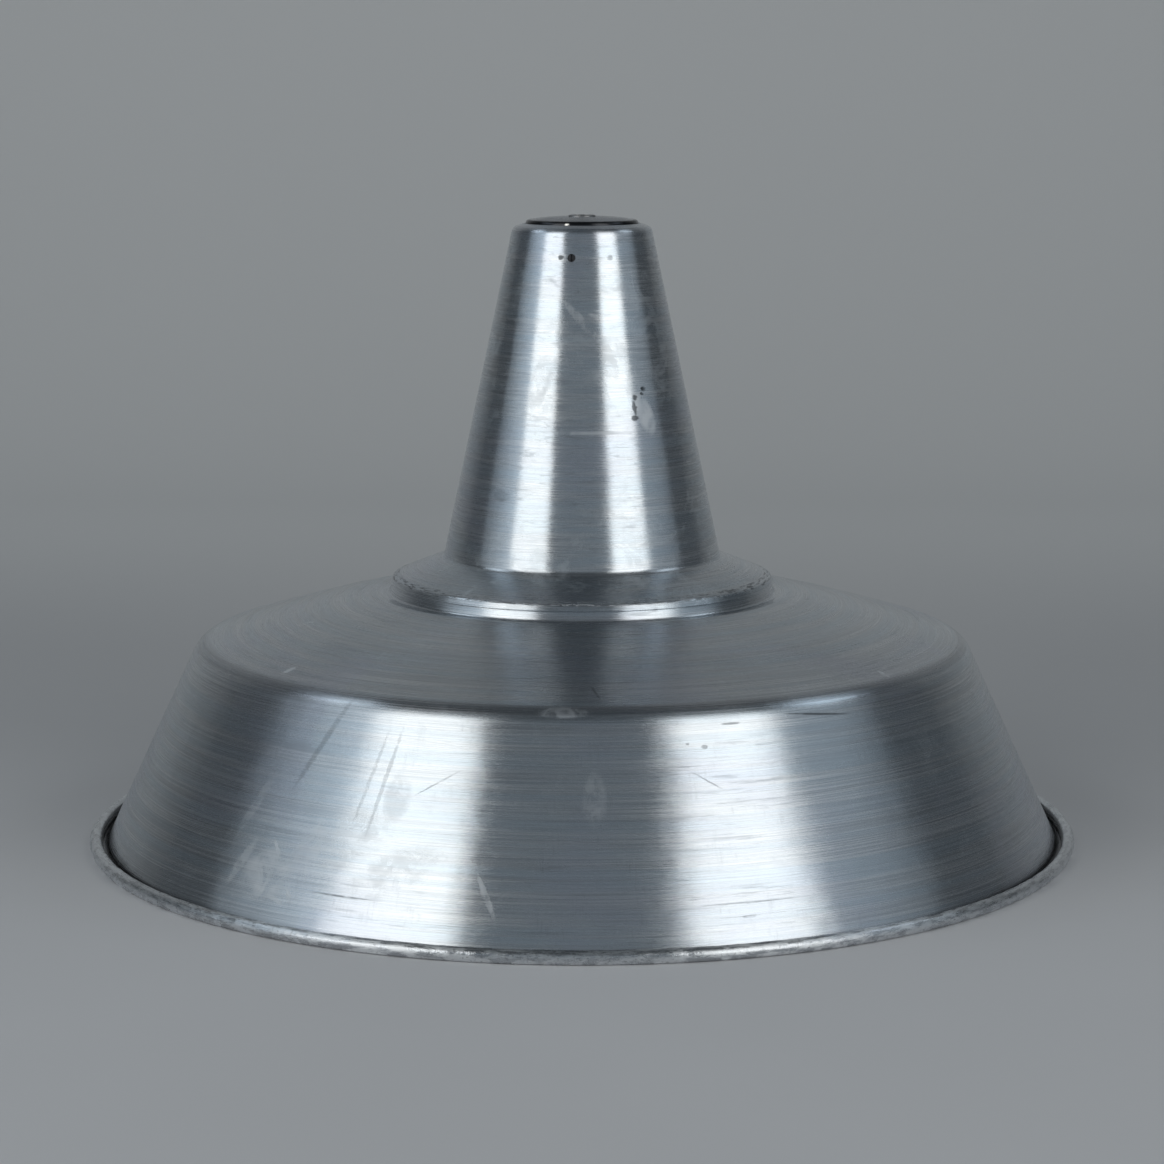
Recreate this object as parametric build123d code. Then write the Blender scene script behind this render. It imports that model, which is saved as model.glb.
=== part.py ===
from build123d import *
import math
import os

# Industrial pendant lamp shade of spun aluminium, standing on its rim: a reflector, a cone-shaped
# neck crimped on top of it, a domed carrier cap in the mouth of the neck and, hanging from the cap
# inside the neck, a porcelain lampholder for a large screw lamp.
# Everything is in millimetres, +Z up, with the origin on the lamp's axis in the plane of the rim.

# ---------------------------------------------------------------- driving dimensions: the shade
SHEET = 1.0                # thickness of the spun aluminium
RIM_RADIUS = 200.0         # outside of the rolled bead
BEAD_RADIUS = 2.65         # outside radius of the bead's own curl
BEAD_CURL = 290.0          # degrees that the bead curls through, from its lowest point
GUTTER_RADIUS = 193.1      # where the skirt meets the floor of the gutter beside the bead
SHOULDER = (155.34, 81.63)         # corner between the skirt and the shallow top, radius and height
SHOULDER_FILLET = 10.5
TOP_BEND = (115.0, 93.33)          # the shallow top steepens slightly here
GROOVE_EDGE = (83.7, 100.85)       # outer edge of the shallow groove round the foot of the collar
GROOVE_FOOT = (78.15, 100.1)       # foot of the steep collar that the crimped edge of the neck grips
LIP_INNER_RADIUS = 58.0            # the reflector's sheet ends here, under the flange

# ---------------------------------------------------------------- driving dimensions: the neck
MOUTH = (23.4, 248.4)              # inner edge of the turned-in lip at the top
NECK_TOP = (27.75, 247.0)
NECK_TOP_FILLET = 3.3
NECK_FOOT = (55.8, 115.2)
FLANGE_EDGE = (76.4, 107.0)
CRIMP_END = (77.5, 104.6)
FLANGE_FILLET = 1.8
SEAM_GAP = 0.03                    # play between the flange and the reflector's lip under it
CAP_GAP = 0.12                     # play between the carrier cap and the neck around it

# ---------------------------------------------------------------- driving dimensions: cap and entry
CAP_SHEET = 1.2
CAP_CROWN = 251.0                  # height of the cap's domed top at the axis
CAP_STEP_RADIUS = 22.5             # the raised dome that stands in the neck's mouth
CAP_STEP_TOP = 249.7
CAP_SKIRT_END = 226.0
SET_SCREW_HEIGHT = 236.2
SET_SCREW_TURN = -97.9             # azimuth of the first set screw, degrees from +X
SET_SCREW_COUNT = 3
SET_SCREW_RADIUS = 1.5
SET_SCREW_LENGTH = 5.0
THREAD_RADIUS = 4.68               # pitch line of the 10 mm fine thread, standing for its helix
THREAD_PLAY = 0.02
BUSH_LIP_RADIUS = 5.4
BUSH_LIP = 0.6                     # height of the clinched lip above the cap
BUSH_FOOT = 236.0
BUSH_STOP = (242.7, 243.9)         # stop ridge between the bush's upper and lower thread
BUSH_STOP_RADIUS = 3.8
BUSH_ACROSS_FLATS = 17.0
WASHER_THICKNESS = 1.0
WASHER_RADIUS = 8.6
WASHER_TEETH = 10
WASHER_NOTCH_RADIUS = 0.8
NUT_THICKNESS = 3.0
NUT_ACROSS_FLATS = 14.0
NIPPLE_LENGTH = 20.0
NIPPLE_TOP = 242.5
NIPPLE_BORE = 3.6

# ---------------------------------------------------------------- driving dimensions: lampholder
# Heights inside the lampholder are counted from the top of its cap, HOLDER_TOP, downwards.
HOLDER_TOP = 231.0
BOSS_RADIUS = 8.0
BOSS_HEIGHT = 8.3
HOLDER_CAP_RADIUS = 22.8
HOLDER_SHEET = 1.2
HOLDER_DOME = -13.0
HOLDER_CAP_FOOT = -30.5
BASE_RADIUS = 20.4
BASE_TOP = -24.5
BASE_FOOT = -36.5
CHAMBER_RADIUS = 4.2
CHAMBER_FLOOR = -33.5
RING_RADIUS = 25.4
RING_MOUTH_RADIUS = 21.5
RING_TOP = -23.5
RING_RECESS_FOOT = -31.5
RING_BORE = 15.2
RING_MOUTH = -62.5
SHELL_RADIUS = 13.35               # inside of the screw shell, for a 27 mm lamp cap
SHELL_SHEET = 0.5
SHELL_FOOT = -60.5
SHELL_STEP = -43.5                 # above this the shell narrows to its closed end
SHELL_END_RADIUS = 12.4            # inside of the narrow closed end
SHELL_HOLE = 4.5
PLUNGER_RADIUS = 2.5
PLUNGER_PLAY = 0.06
PLUNGER_TIP = -41.0
PLUNGER_COLLAR_RADIUS = 3.7
PLUNGER_COLLAR = 1.2
PLUNGER_STEM_RADIUS = 1.6
PLUNGER_STEM_TOP = -30.6
SPRING_WIRE = 0.5
SPRING_RADIUS = 2.6
SPRING_TURNS = 5
PLATE_THICKNESS = 1.2
PLATE_HALF_WIDTH = 3.0
PLATE_DEPTH = 1.5                  # depth of the pocket for the live plate in the base's top
TERMINAL_INNER = 10.0              # the two terminal blocks run from here
TERMINAL_OUTER = 17.0              # to here, either side of the axis
TERMINAL_HALF_WIDTH = 3.5
TERMINAL_TOP = -18.3
WIRE_HOLE_RADIUS = 1.6
WIRE_HOLE_HEIGHT = -22.0
SCREW_RADIUS = 1.7
SCREW_HEAD_RADIUS = 3.0
SCREW_HEAD = 2.2
STRAP = (11.0, 0.8, 4.0)           # neutral strap: distance from the axis, thickness and width
RIVET_PITCH_RADIUS = 9.0
RIVET_RADIUS = 1.5
RIVET_HEAD_RADIUS = 2.6
RIVET_HEAD = 1.0
EARTH_BLOCK = (12.6, -23.5, -17.5)  # inner face from the axis, foot and top
EARTH_HALF_WIDTH = 3.2
EARTH_SCREW_HEIGHT = -20.2
BOSS_SCREW_HEIGHT = -4.0
BOSS_SCREW_RADIUS = 1.9
BOSS_SCREW_LENGTH = 4.5
FIT = 0.02                         # play of a screw or rivet in its own hole


# ---------------------------------------------------------------- helpers
def turned(section):
    """Solid of revolution about Z of a face drawn as (radius, height)."""
    return revolve(Plane.XZ * section, axis=Axis.Z)


def turned_polygon(points):
    """Solid of revolution of a closed polygon of (radius, height) points."""
    return turned(make_face(Polyline(*points, close=True)))


def tube(outer, inner, foot, top):
    """Plain ring between two radii and two heights."""
    return turned_polygon([(inner, foot), (outer, foot), (outer, top), (inner, top)])


def rod(radius, foot, top, x=0.0, y=0.0):
    """Upright cylinder between two heights."""
    return Pos(x, y, foot) * Cylinder(radius, top - foot, align=(Align.CENTER, Align.CENTER, Align.MIN))


def block(x, y, z):
    """Box between three pairs of limits."""
    size = [limits[1] - limits[0] for limits in (x, y, z)]
    middle = [sum(limits) / 2 for limits in (x, y, z)]
    return Pos(*middle) * Box(*size)


def shifted_corners(points, distance):
    """Corners of the line that runs beside `points`, on its right-hand side."""
    runs = [(b[0] - a[0], b[1] - a[1]) for a, b in zip(points, points[1:])]
    normals = [(z / math.hypot(r, z), -r / math.hypot(r, z)) for r, z in runs]
    befores = [normals[0]] + normals
    afters = normals + [normals[-1]]
    shifted = []
    for (r, z), (br, bz), (ar, az) in zip(points, befores, afters):
        reach = distance / (1 + br * ar + bz * az)
        shifted.append((r + (br + ar) * reach, z + (bz + az) * reach))
    return shifted


def turns_right(a, b, c):
    """True where the line a-b-c bends towards its right-hand side."""
    return (b[0] - a[0]) * (c[1] - b[1]) - (b[1] - a[1]) * (c[0] - b[0]) < 0


def sheet_section(points, radii, thickness):
    """Section of bent sheet: `points` and `radii` give its upper face, from the axis outwards."""
    lower_points = shifted_corners(points, thickness)
    lower_radii = []
    for a, b, c, radius in zip(points, points[1:], points[2:], radii):
        change = -thickness if turns_right(a, b, c) else thickness
        lower_radii.append(radius + change)
    upper = FilletPolyline(*points, radius=radii)
    lower = FilletPolyline(*lower_points, radius=lower_radii)
    ends = [Line(points[0], lower_points[0]), Line(points[-1], lower_points[-1])]
    return make_face([upper.edges(), lower.edges(), ends])


def neck_radius(height):
    """Radius of the neck's outer face at a height on its straight cone."""
    slope = (NECK_FOOT[0] - NECK_TOP[0]) / (NECK_TOP[1] - NECK_FOOT[1])
    return NECK_TOP[0] + (NECK_TOP[1] - height) * slope


NECK_HALF_ANGLE = math.degrees(math.atan2(NECK_FOOT[0] - NECK_TOP[0], NECK_TOP[1] - NECK_FOOT[1]))


def at_set_screws(shape):
    """Copies of a shape at the set screws: its +Z looks out of the neck, its origin on the face."""
    places = []
    for number in range(SET_SCREW_COUNT):
        turn = Rot(0, 0, SET_SCREW_TURN + 360 / SET_SCREW_COUNT * number)
        place = Pos(neck_radius(SET_SCREW_HEIGHT), 0, SET_SCREW_HEIGHT)
        places.append(turn * place * Rot(0, 90 - NECK_HALF_ANGLE, 0) * shape)
    return places


def slotted_screw(shank_radius, shank_length, head_radius, head_height):
    """Cheese-head screw along Z, with the underside of its head at the origin."""
    head = Cylinder(head_radius, head_height, align=(Align.CENTER, Align.CENTER, Align.MIN))
    head = fillet(head.edges().sort_by(Axis.Z)[-1], head_height * 0.25)
    slot = Pos(0, 0, head_height) * Box(head_radius * 3, head_radius * 0.27, head_height * 0.8)
    return head - slot + rod(shank_radius, -shank_length, 0)


def grub_screw(radius, length):
    """Headless slotted screw along Z, with its slotted end at the origin and its cup point below."""
    body = rod(radius, -length, 0)
    body = chamfer(body.edges().sort_by(Axis.Z)[0], radius * 0.3)
    return body - Box(radius * 3, radius * 0.3, radius * 1.1)


def hexagon_bar(across_flats, foot, top):
    """Hexagon bar about Z with its corners turned down at both ends."""
    bar = Pos(0, 0, foot) * extrude(RegularPolygon(across_flats / 2, 6, major_radius=False), top - foot)
    corner = across_flats / math.sqrt(3)
    crown = corner - across_flats / 2
    turned_blank = turned_polygon([
        (0, foot),
        (across_flats / 2, foot),
        (corner, foot + crown * 0.6),
        (corner, top - crown * 0.6),
        (across_flats / 2, top),
        (0, top),
    ])
    return bar & turned_blank


# ---------------------------------------------------------------- the shade
def flange_underside(radius):
    """Height of the underside of the neck's flange."""
    fall = (NECK_FOOT[1] - FLANGE_EDGE[1]) / (FLANGE_EDGE[0] - NECK_FOOT[0])
    thickness = SHEET * math.hypot(1, fall)
    return NECK_FOOT[1] - fall * (radius - NECK_FOOT[0]) - thickness


def reflector():
    """Wide spun bowl with a collar for the neck's crimped edge and a hollow rolled bead at the rim."""
    bead_middle = (RIM_RADIUS - BEAD_RADIUS, BEAD_RADIUS)
    seam = shifted_corners([NECK_FOOT, FLANGE_EDGE, CRIMP_END], SHEET + SEAM_GAP)
    points = [
        (LIP_INNER_RADIUS, flange_underside(LIP_INNER_RADIUS) - SEAM_GAP),
        seam[1],
        GROOVE_FOOT,
        GROOVE_EDGE,
        TOP_BEND,
        SHOULDER,
        (GUTTER_RADIUS, SHEET),
        (bead_middle[0], SHEET),
    ]
    bowl = sheet_section(points, [1.3, 1.6, 1.6, 150, SHOULDER_FILLET, 2.0], SHEET)
    outside = CenterArc(bead_middle, BEAD_RADIUS, -90, BEAD_CURL)
    inside = CenterArc(bead_middle, BEAD_RADIUS - SHEET, -90, BEAD_CURL)
    ends = [Line(outside @ 0, inside @ 0), Line(outside @ 1, inside @ 1)]
    bead = make_face([outside, inside, ends])
    return turned(bowl + bead)


def neck():
    """Spun cone with a turned-in lip at its mouth and a flange whose edge is crimped down."""
    points = [MOUTH, NECK_TOP, NECK_FOOT, FLANGE_EDGE, CRIMP_END]
    cone = turned(sheet_section(points, [NECK_TOP_FILLET, 1.6, FLANGE_FILLET], SHEET))
    for hole in at_set_screws(Cylinder(SET_SCREW_RADIUS + 0.1, 8)):
        cone -= hole
    return cone


# ---------------------------------------------------------------- carrier cap and entry
def top_cap():
    """Domed cap that stands in the neck's mouth and wedges inside the cone with its own skirt."""
    lip_fall = (MOUTH[1] - NECK_TOP[1]) / (NECK_TOP[0] - MOUTH[0])
    lip_underside = MOUTH[1] - SHEET * math.hypot(1, lip_fall) - CAP_GAP
    inset = SHEET / math.cos(math.radians(NECK_HALF_ANGLE)) + CAP_GAP
    wedge_top = 246.2
    shoulder_radius = neck_radius(wedge_top) - inset
    points = [
        (BUSH_LIP_RADIUS + 0.05, CAP_CROWN),
        (14.0, CAP_CROWN - 0.15),
        (CAP_STEP_RADIUS, CAP_STEP_TOP),
        (CAP_STEP_RADIUS, lip_underside + lip_fall * (MOUTH[0] - CAP_STEP_RADIUS)),
        (shoulder_radius, lip_underside - lip_fall * (shoulder_radius - MOUTH[0])),
        (neck_radius(CAP_SKIRT_END) - inset, CAP_SKIRT_END),
    ]
    cap = turned(sheet_section(points, [60, 1.5, 0.4, 2.6], CAP_SHEET))
    for hole in at_set_screws(Cylinder(SET_SCREW_RADIUS + FIT, 8)):
        cap -= hole
    return cap


def neck_set_screws():
    """Slotted grub screws through the neck's wall and the cap's skirt."""
    return Compound(children=at_set_screws(Pos(0, 0, -0.15) * grub_screw(SET_SCREW_RADIUS, SET_SCREW_LENGTH)))


def entry_bush():
    """Hexagon bush clinched in the cap: the suspension screws in above, the nipple below."""
    underside = CAP_CROWN - CAP_SHEET - 0.15
    body = hexagon_bar(BUSH_ACROSS_FLATS, BUSH_FOOT, underside)
    body += rod(BUSH_LIP_RADIUS, underside, CAP_CROWN + BUSH_LIP)
    body = fillet(body.edges().sort_by(Axis.Z)[-1], 0.3)
    body -= rod(THREAD_RADIUS, BUSH_FOOT - 1, BUSH_STOP[0])
    body -= rod(BUSH_STOP_RADIUS, BUSH_STOP[0] - 1, BUSH_STOP[1] + 1)
    return body - rod(THREAD_RADIUS, BUSH_STOP[1], CAP_CROWN + 2)


def tooth_washer():
    """Internal-tooth lock washer between the bush and the lock nut."""
    top = BUSH_FOOT
    ring = tube(WASHER_RADIUS, THREAD_RADIUS + 0.25, top - WASHER_THICKNESS, top)
    for number in range(WASHER_TEETH):
        turn = Rot(0, 0, 360 / WASHER_TEETH * number)
        ring -= turn * rod(WASHER_NOTCH_RADIUS, top - 2, top + 1, x=THREAD_RADIUS + 0.7)
    return ring


def lock_nut():
    """Thin hexagon nut that locks the nipple in the bush."""
    top = BUSH_FOOT - WASHER_THICKNESS
    nut = hexagon_bar(NUT_ACROSS_FLATS, top - NUT_THICKNESS, top)
    return nut - rod(THREAD_RADIUS, top - 10, top + 10)


def nipple():
    """Short threaded tube that carries the lampholder under the bush."""
    return tube(THREAD_RADIUS - THREAD_PLAY, NIPPLE_BORE, NIPPLE_TOP - NIPPLE_LENGTH, NIPPLE_TOP)


# ---------------------------------------------------------------- lampholder, heights from its top
def holder_cap():
    """Pressed cap with a threaded boss for the nipple and a straight wall for the porcelain ring."""
    dome = sheet_section(
        [(5.5, -BOSS_HEIGHT + 1.0), (BOSS_RADIUS, -BOSS_HEIGHT + 0.2), (HOLDER_CAP_RADIUS, HOLDER_DOME),
         (HOLDER_CAP_RADIUS, HOLDER_CAP_FOOT)],
        [8.0, 5.0],
        HOLDER_SHEET,
    )
    cap = turned(dome) + tube(BOSS_RADIUS, THREAD_RADIUS, -BOSS_HEIGHT - 1.7, 0)
    cap -= rod(THREAD_RADIUS, -20, 1)
    grub_hole = Pos(0, BOSS_RADIUS, BOSS_SCREW_HEIGHT) * Rot(90, 0, 0)
    cap -= grub_hole * Cylinder(BOSS_SCREW_RADIUS + FIT, 12)
    earth_hole = Pos(0, HOLDER_CAP_RADIUS, EARTH_SCREW_HEIGHT) * Rot(90, 0, 0)
    return cap - earth_hole * Cylinder(SCREW_RADIUS + 0.1, 8)


def entry_grub_screw():
    """Grub screw across the boss that stops the lampholder from turning on the nipple."""
    outer = THREAD_RADIUS + BOSS_SCREW_LENGTH
    place = Pos(0, outer, BOSS_SCREW_HEIGHT) * Rot(-90, 0, 0)
    return place * grub_screw(BOSS_SCREW_RADIUS, BOSS_SCREW_LENGTH)


def terminal_block():
    """Porcelain base: chamber for the plunger and its spring, pocket, slot and rivet holes."""
    base = rod(BASE_RADIUS, BASE_FOOT, BASE_TOP)
    base = fillet(base.edges().sort_by(Axis.Z)[-1], 1.0)
    base -= rod(CHAMBER_RADIUS, CHAMBER_FLOOR, BASE_TOP + 1)
    base -= rod(PLUNGER_RADIUS + PLUNGER_PLAY, BASE_FOOT - 1, CHAMBER_FLOOR + 1)
    pocket_x = (-CHAMBER_RADIUS - 0.6, TERMINAL_OUTER + 0.1)
    pocket_y = (-PLATE_HALF_WIDTH - 0.1, PLATE_HALF_WIDTH + 0.1)
    base -= block(pocket_x, pocket_y, (BASE_TOP - PLATE_DEPTH, BASE_TOP + 1))
    distance, thickness, width = STRAP
    slot_x = (-distance - thickness / 2 - 0.1, -distance + thickness / 2 + 0.1)
    base -= block(slot_x, (-width / 2 - 0.1, width / 2 + 0.1), (BASE_FOOT - 1, BASE_TOP + 1))
    for side in (-1, 1):
        base -= rod(RIVET_RADIUS + FIT, BASE_FOOT - 1, BASE_TOP + 1, y=side * RIVET_PITCH_RADIUS)
    return base


def terminal(side):
    """Brass terminal block on the base at x = side, with its wire hole and screw hole."""
    limits = sorted((side * TERMINAL_INNER, side * TERMINAL_OUTER))
    middle = side * (TERMINAL_INNER + TERMINAL_OUTER) / 2
    width = (-TERMINAL_HALF_WIDTH, TERMINAL_HALF_WIDTH)
    body = block(limits, width, (BASE_TOP, TERMINAL_TOP))
    body = fillet(body.edges().filter_by(Axis.Z), 0.6)
    body -= Pos(middle, 0, WIRE_HOLE_HEIGHT) * Rot(90, 0, 0) * Cylinder(WIRE_HOLE_RADIUS, 10)
    return body - rod(SCREW_RADIUS + FIT, WIRE_HOLE_HEIGHT, TERMINAL_TOP + 1, x=middle)


def live_terminal():
    """Terminal block on a plate that bridges the plunger's chamber and backs its spring."""
    plate_foot = BASE_TOP - PLATE_DEPTH
    width = (-PLATE_HALF_WIDTH, PLATE_HALF_WIDTH)
    plate = block((-CHAMBER_RADIUS - 0.4, TERMINAL_OUTER), width, (plate_foot, plate_foot + PLATE_THICKNESS))
    foot = block((TERMINAL_INNER, TERMINAL_OUTER), width, (plate_foot, BASE_TOP))
    return plate + foot + terminal(1)


def neutral_terminal():
    """Terminal block with a strap that runs down through the base to the screw shell."""
    distance, thickness, width = STRAP
    strap_x = (-distance - thickness / 2, -distance + thickness / 2)
    return terminal(-1) + block(strap_x, (-width / 2, width / 2), (BASE_FOOT, BASE_TOP))


def terminal_screws():
    """One cheese-head screw in each of the two terminal blocks."""
    middle = (TERMINAL_INNER + TERMINAL_OUTER) / 2
    screw = slotted_screw(SCREW_RADIUS, 3.0, SCREW_HEAD_RADIUS, SCREW_HEAD)
    return Compound(children=[
        Pos(middle, 0, TERMINAL_TOP) * Rot(0, 0, 25) * screw,
        Pos(-middle, 0, TERMINAL_TOP) * Rot(0, 0, 80) * screw,
    ])


def earth_terminal():
    """Block inside the holder's cap, curved to the cap's wall, for the protective conductor."""
    inner, foot, top = EARTH_BLOCK
    wall = HOLDER_CAP_RADIUS - HOLDER_SHEET - 0.02
    body = block((-EARTH_HALF_WIDTH, EARTH_HALF_WIDTH), (inner, wall + 2), (foot, top)) & rod(wall, foot, top)
    screw_hole = Pos(0, wall, EARTH_SCREW_HEIGHT) * Rot(90, 0, 0)
    body -= screw_hole * Cylinder(SCREW_RADIUS + FIT, 13)
    return body - rod(WIRE_HOLE_RADIUS, foot - 1, top + 1, y=inner + 3.0)


def earth_screw():
    """Cheese-head screw through the holder cap's wall into the earth terminal."""
    screw = slotted_screw(SCREW_RADIUS, 7.0, SCREW_HEAD_RADIUS - 0.3, SCREW_HEAD - 0.2)
    return Pos(0, HOLDER_CAP_RADIUS, EARTH_SCREW_HEIGHT) * Rot(-90, 0, 0) * screw


def contact_plunger():
    """Turned centre contact: rounded tip, collar on the chamber's floor and stem in the spring."""
    collar_top = CHAMBER_FLOOR + PLUNGER_COLLAR
    body = rod(PLUNGER_RADIUS, PLUNGER_TIP, CHAMBER_FLOOR)
    body = fillet(body.edges().sort_by(Axis.Z)[0], 1.6)
    body += rod(PLUNGER_COLLAR_RADIUS, CHAMBER_FLOOR, collar_top)
    return body + rod(PLUNGER_STEM_RADIUS, collar_top, PLUNGER_STEM_TOP)


def contact_spring():
    """Coil spring between the plunger's collar and the live plate."""
    foot = CHAMBER_FLOOR + PLUNGER_COLLAR + SPRING_WIRE / 2 + 0.02
    top = BASE_TOP - PLATE_DEPTH - SPRING_WIRE / 2 - 0.02
    height = top - foot
    path = Helix(height / SPRING_TURNS, height, SPRING_RADIUS, center=(0, 0, foot))
    section = Plane(origin=path @ 0, z_dir=path % 0) * Circle(SPRING_WIRE / 2)
    return sweep(section, path=path, is_frenet=True)


def screw_shell():
    """Brass shell that takes the lamp's screw cap; its thread stands as a plain wall."""
    shell = turned(sheet_section(
        [(SHELL_HOLE, BASE_FOOT), (SHELL_END_RADIUS + SHELL_SHEET, BASE_FOOT),
         (SHELL_END_RADIUS + SHELL_SHEET, SHELL_STEP), (SHELL_RADIUS + SHELL_SHEET, SHELL_STEP - 0.5),
         (SHELL_RADIUS + SHELL_SHEET, SHELL_FOOT)],
        [1.0, 0.2, 0.7],
        SHELL_SHEET,
    ))
    for side in (-1, 1):
        shell -= rod(RIVET_RADIUS + FIT, BASE_FOOT - 2, BASE_FOOT + 1, y=side * RIVET_PITCH_RADIUS)
    return shell


def shell_rivets():
    """Two tubular rivets that clamp the shell's plate to the porcelain base."""
    plate_foot = BASE_FOOT - SHELL_SHEET
    rivets = []
    for side in (-1, 1):
        rivet = rod(RIVET_RADIUS, plate_foot - RIVET_HEAD, BASE_TOP + RIVET_HEAD)
        rivet += rod(RIVET_HEAD_RADIUS, plate_foot - RIVET_HEAD, plate_foot)
        rivet += rod(RIVET_HEAD_RADIUS, BASE_TOP, BASE_TOP + RIVET_HEAD)
        rivets.append(Pos(0, side * RIVET_PITCH_RADIUS, 0) * rivet)
    return Compound(children=rivets)


def holder_ring():
    """Glazed porcelain ring that screws on the holder's cap and carries the base on a ledge."""
    recess = HOLDER_CAP_RADIUS + 0.1
    ledge = BASE_RADIUS + 0.15
    ring = turned_polygon([
        (recess, RING_TOP),
        (RING_RADIUS, RING_TOP),
        (RING_RADIUS, -35.5),
        (RING_MOUTH_RADIUS, -44.5),
        (RING_MOUTH_RADIUS, RING_MOUTH),
        (RING_BORE, RING_MOUTH),
        (RING_BORE, BASE_FOOT),
        (ledge, BASE_FOOT),
        (ledge, RING_RECESS_FOOT),
        (recess, RING_RECESS_FOOT),
    ])
    circles = ring.edges().filter_by(GeomType.CIRCLE)
    outside = [edge for edge in circles if round(edge.radius, 3) in (RING_RADIUS, RING_MOUTH_RADIUS)]
    return fillet(outside, 0.9)


# ---------------------------------------------------------------- write one file per sub-part
SHADE_PARTS = {
    "reflector": reflector,
    "neck": neck,
    "top_cap": top_cap,
    "neck_set_screws": neck_set_screws,
    "entry_bush": entry_bush,
    "tooth_washer": tooth_washer,
    "lock_nut": lock_nut,
    "nipple": nipple,
}

HOLDER_PARTS = {
    "holder_cap": holder_cap,
    "entry_grub_screw": entry_grub_screw,
    "terminal_block": terminal_block,
    "live_terminal": live_terminal,
    "neutral_terminal": neutral_terminal,
    "terminal_screws": terminal_screws,
    "earth_terminal": earth_terminal,
    "earth_screw": earth_screw,
    "contact_plunger": contact_plunger,
    "contact_spring": contact_spring,
    "screw_shell": screw_shell,
    "shell_rivets": shell_rivets,
    "holder_ring": holder_ring,
}

os.makedirs("parts", exist_ok=True)
for name, make in SHADE_PARTS.items():
    export_step(make(), f"parts/{name}.step")
for name, make in HOLDER_PARTS.items():
    export_step(Pos(0, 0, HOLDER_TOP) * make(), f"parts/{name}.step")
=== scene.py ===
import math

import bpy
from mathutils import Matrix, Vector, noise


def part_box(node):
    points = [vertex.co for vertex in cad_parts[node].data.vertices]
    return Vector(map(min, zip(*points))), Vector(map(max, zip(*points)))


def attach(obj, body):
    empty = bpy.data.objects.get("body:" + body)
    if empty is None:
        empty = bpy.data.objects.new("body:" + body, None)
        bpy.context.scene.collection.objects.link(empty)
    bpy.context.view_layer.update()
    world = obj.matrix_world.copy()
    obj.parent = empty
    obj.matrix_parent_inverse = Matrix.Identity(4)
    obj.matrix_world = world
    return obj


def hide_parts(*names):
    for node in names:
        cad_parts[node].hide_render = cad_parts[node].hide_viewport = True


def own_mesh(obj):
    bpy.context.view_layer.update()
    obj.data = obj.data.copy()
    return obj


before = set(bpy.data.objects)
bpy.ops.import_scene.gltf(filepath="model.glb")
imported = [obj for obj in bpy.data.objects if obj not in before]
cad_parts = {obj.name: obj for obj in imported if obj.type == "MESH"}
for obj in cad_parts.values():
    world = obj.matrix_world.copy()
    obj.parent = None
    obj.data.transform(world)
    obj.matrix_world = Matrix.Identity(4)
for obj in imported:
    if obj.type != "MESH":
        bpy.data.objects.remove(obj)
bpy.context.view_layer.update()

# A spun-aluminium pendant lamp shade that stands on its rim. The bowl, the neck, the screw shell, the
# nipple and the spring are fine meshes made here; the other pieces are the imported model's own meshes.
# Metres, +Z up, the lamp's axis on Z, the rim on the floor at z = 0. The camera looks along +Y.

MM = 0.001
BODY = "lamp_shade"

LAMP_DISTANCE = 2.0
LAMP_FOOT = 0.15
LAMP_TOP = 2.1
SOFTBOX_RADIANCE = 2.05
WING_HALF_ANGLE = 4
WINGS_LEFT = ((-66, 0.85), (-74, 0.62), (-82, 0.42), (-90, 0.26))     # azimuth, radiance
WINGS_RIGHT = ((61.5, 0.38), (69.5, 0.33), (77.5, 0.27), (85.5, 0.20))
WHITE = (0.985, 1.0, 0.985)
COOL = (0.79, 0.905, 1.0)
FLOOR_TONE = (0.64, 0.64, 0.655)
# SHADED_TONE: painted shadow on the floor just behind the object; BACKDROP_TONE: painted light, the rising
# backdrop made lighter than the floor
SHADED_TONE = (0.53, 0.53, 0.54)
BACKDROP_TONE = (0.77, 0.77, 0.77)

# ---------------------------------------------------------------- outline of the shade, millimetres
SHEET = 1.0
RIM_RADIUS = 200.0
BEAD_RADIUS = 2.65
BEAD_CURL = 290.0
NECK_TOP = (27.75, 247.0)
NECK_FOOT = (55.8, 115.2)
FLANGE_EDGE = (76.4, 107.0)
CRIMP_END = (77.5, 104.6)
LIP_FOOT = 58.0
SEAM_GAP = 0.03


def beside(corners, distance):
    """The line that runs beside a line of (radius, height, fillet) corners, on its right-hand side."""
    runs = [(b[0] - a[0], b[1] - a[1]) for a, b in zip(corners, corners[1:])]
    normals = [(z / math.hypot(r, z), -r / math.hypot(r, z)) for r, z in runs]
    line = []
    for number, (r, z, fillet) in enumerate(corners):
        before = normals[max(number - 1, 0)]
        after = normals[min(number, len(normals) - 1)]
        reach = distance / (1 + before[0] * after[0] + before[1] * after[1])
        right_turn = before[0] * after[1] - before[1] * after[0] < 0
        change = 0 if fillet == 0 else (-distance if right_turn else distance)
        across, up = before[0] + after[0], before[1] + after[1]
        line.append((r + across * reach, z + up * reach, fillet + change))
    return line


def flange_underside(radius):
    """Height of the underside of the neck's sloping flange."""
    fall = (NECK_FOOT[1] - FLANGE_EDGE[1]) / (FLANGE_EDGE[0] - NECK_FOOT[0])
    return NECK_FOOT[1] - fall * (radius - NECK_FOOT[0]) - SHEET * math.hypot(1, fall)


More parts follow.
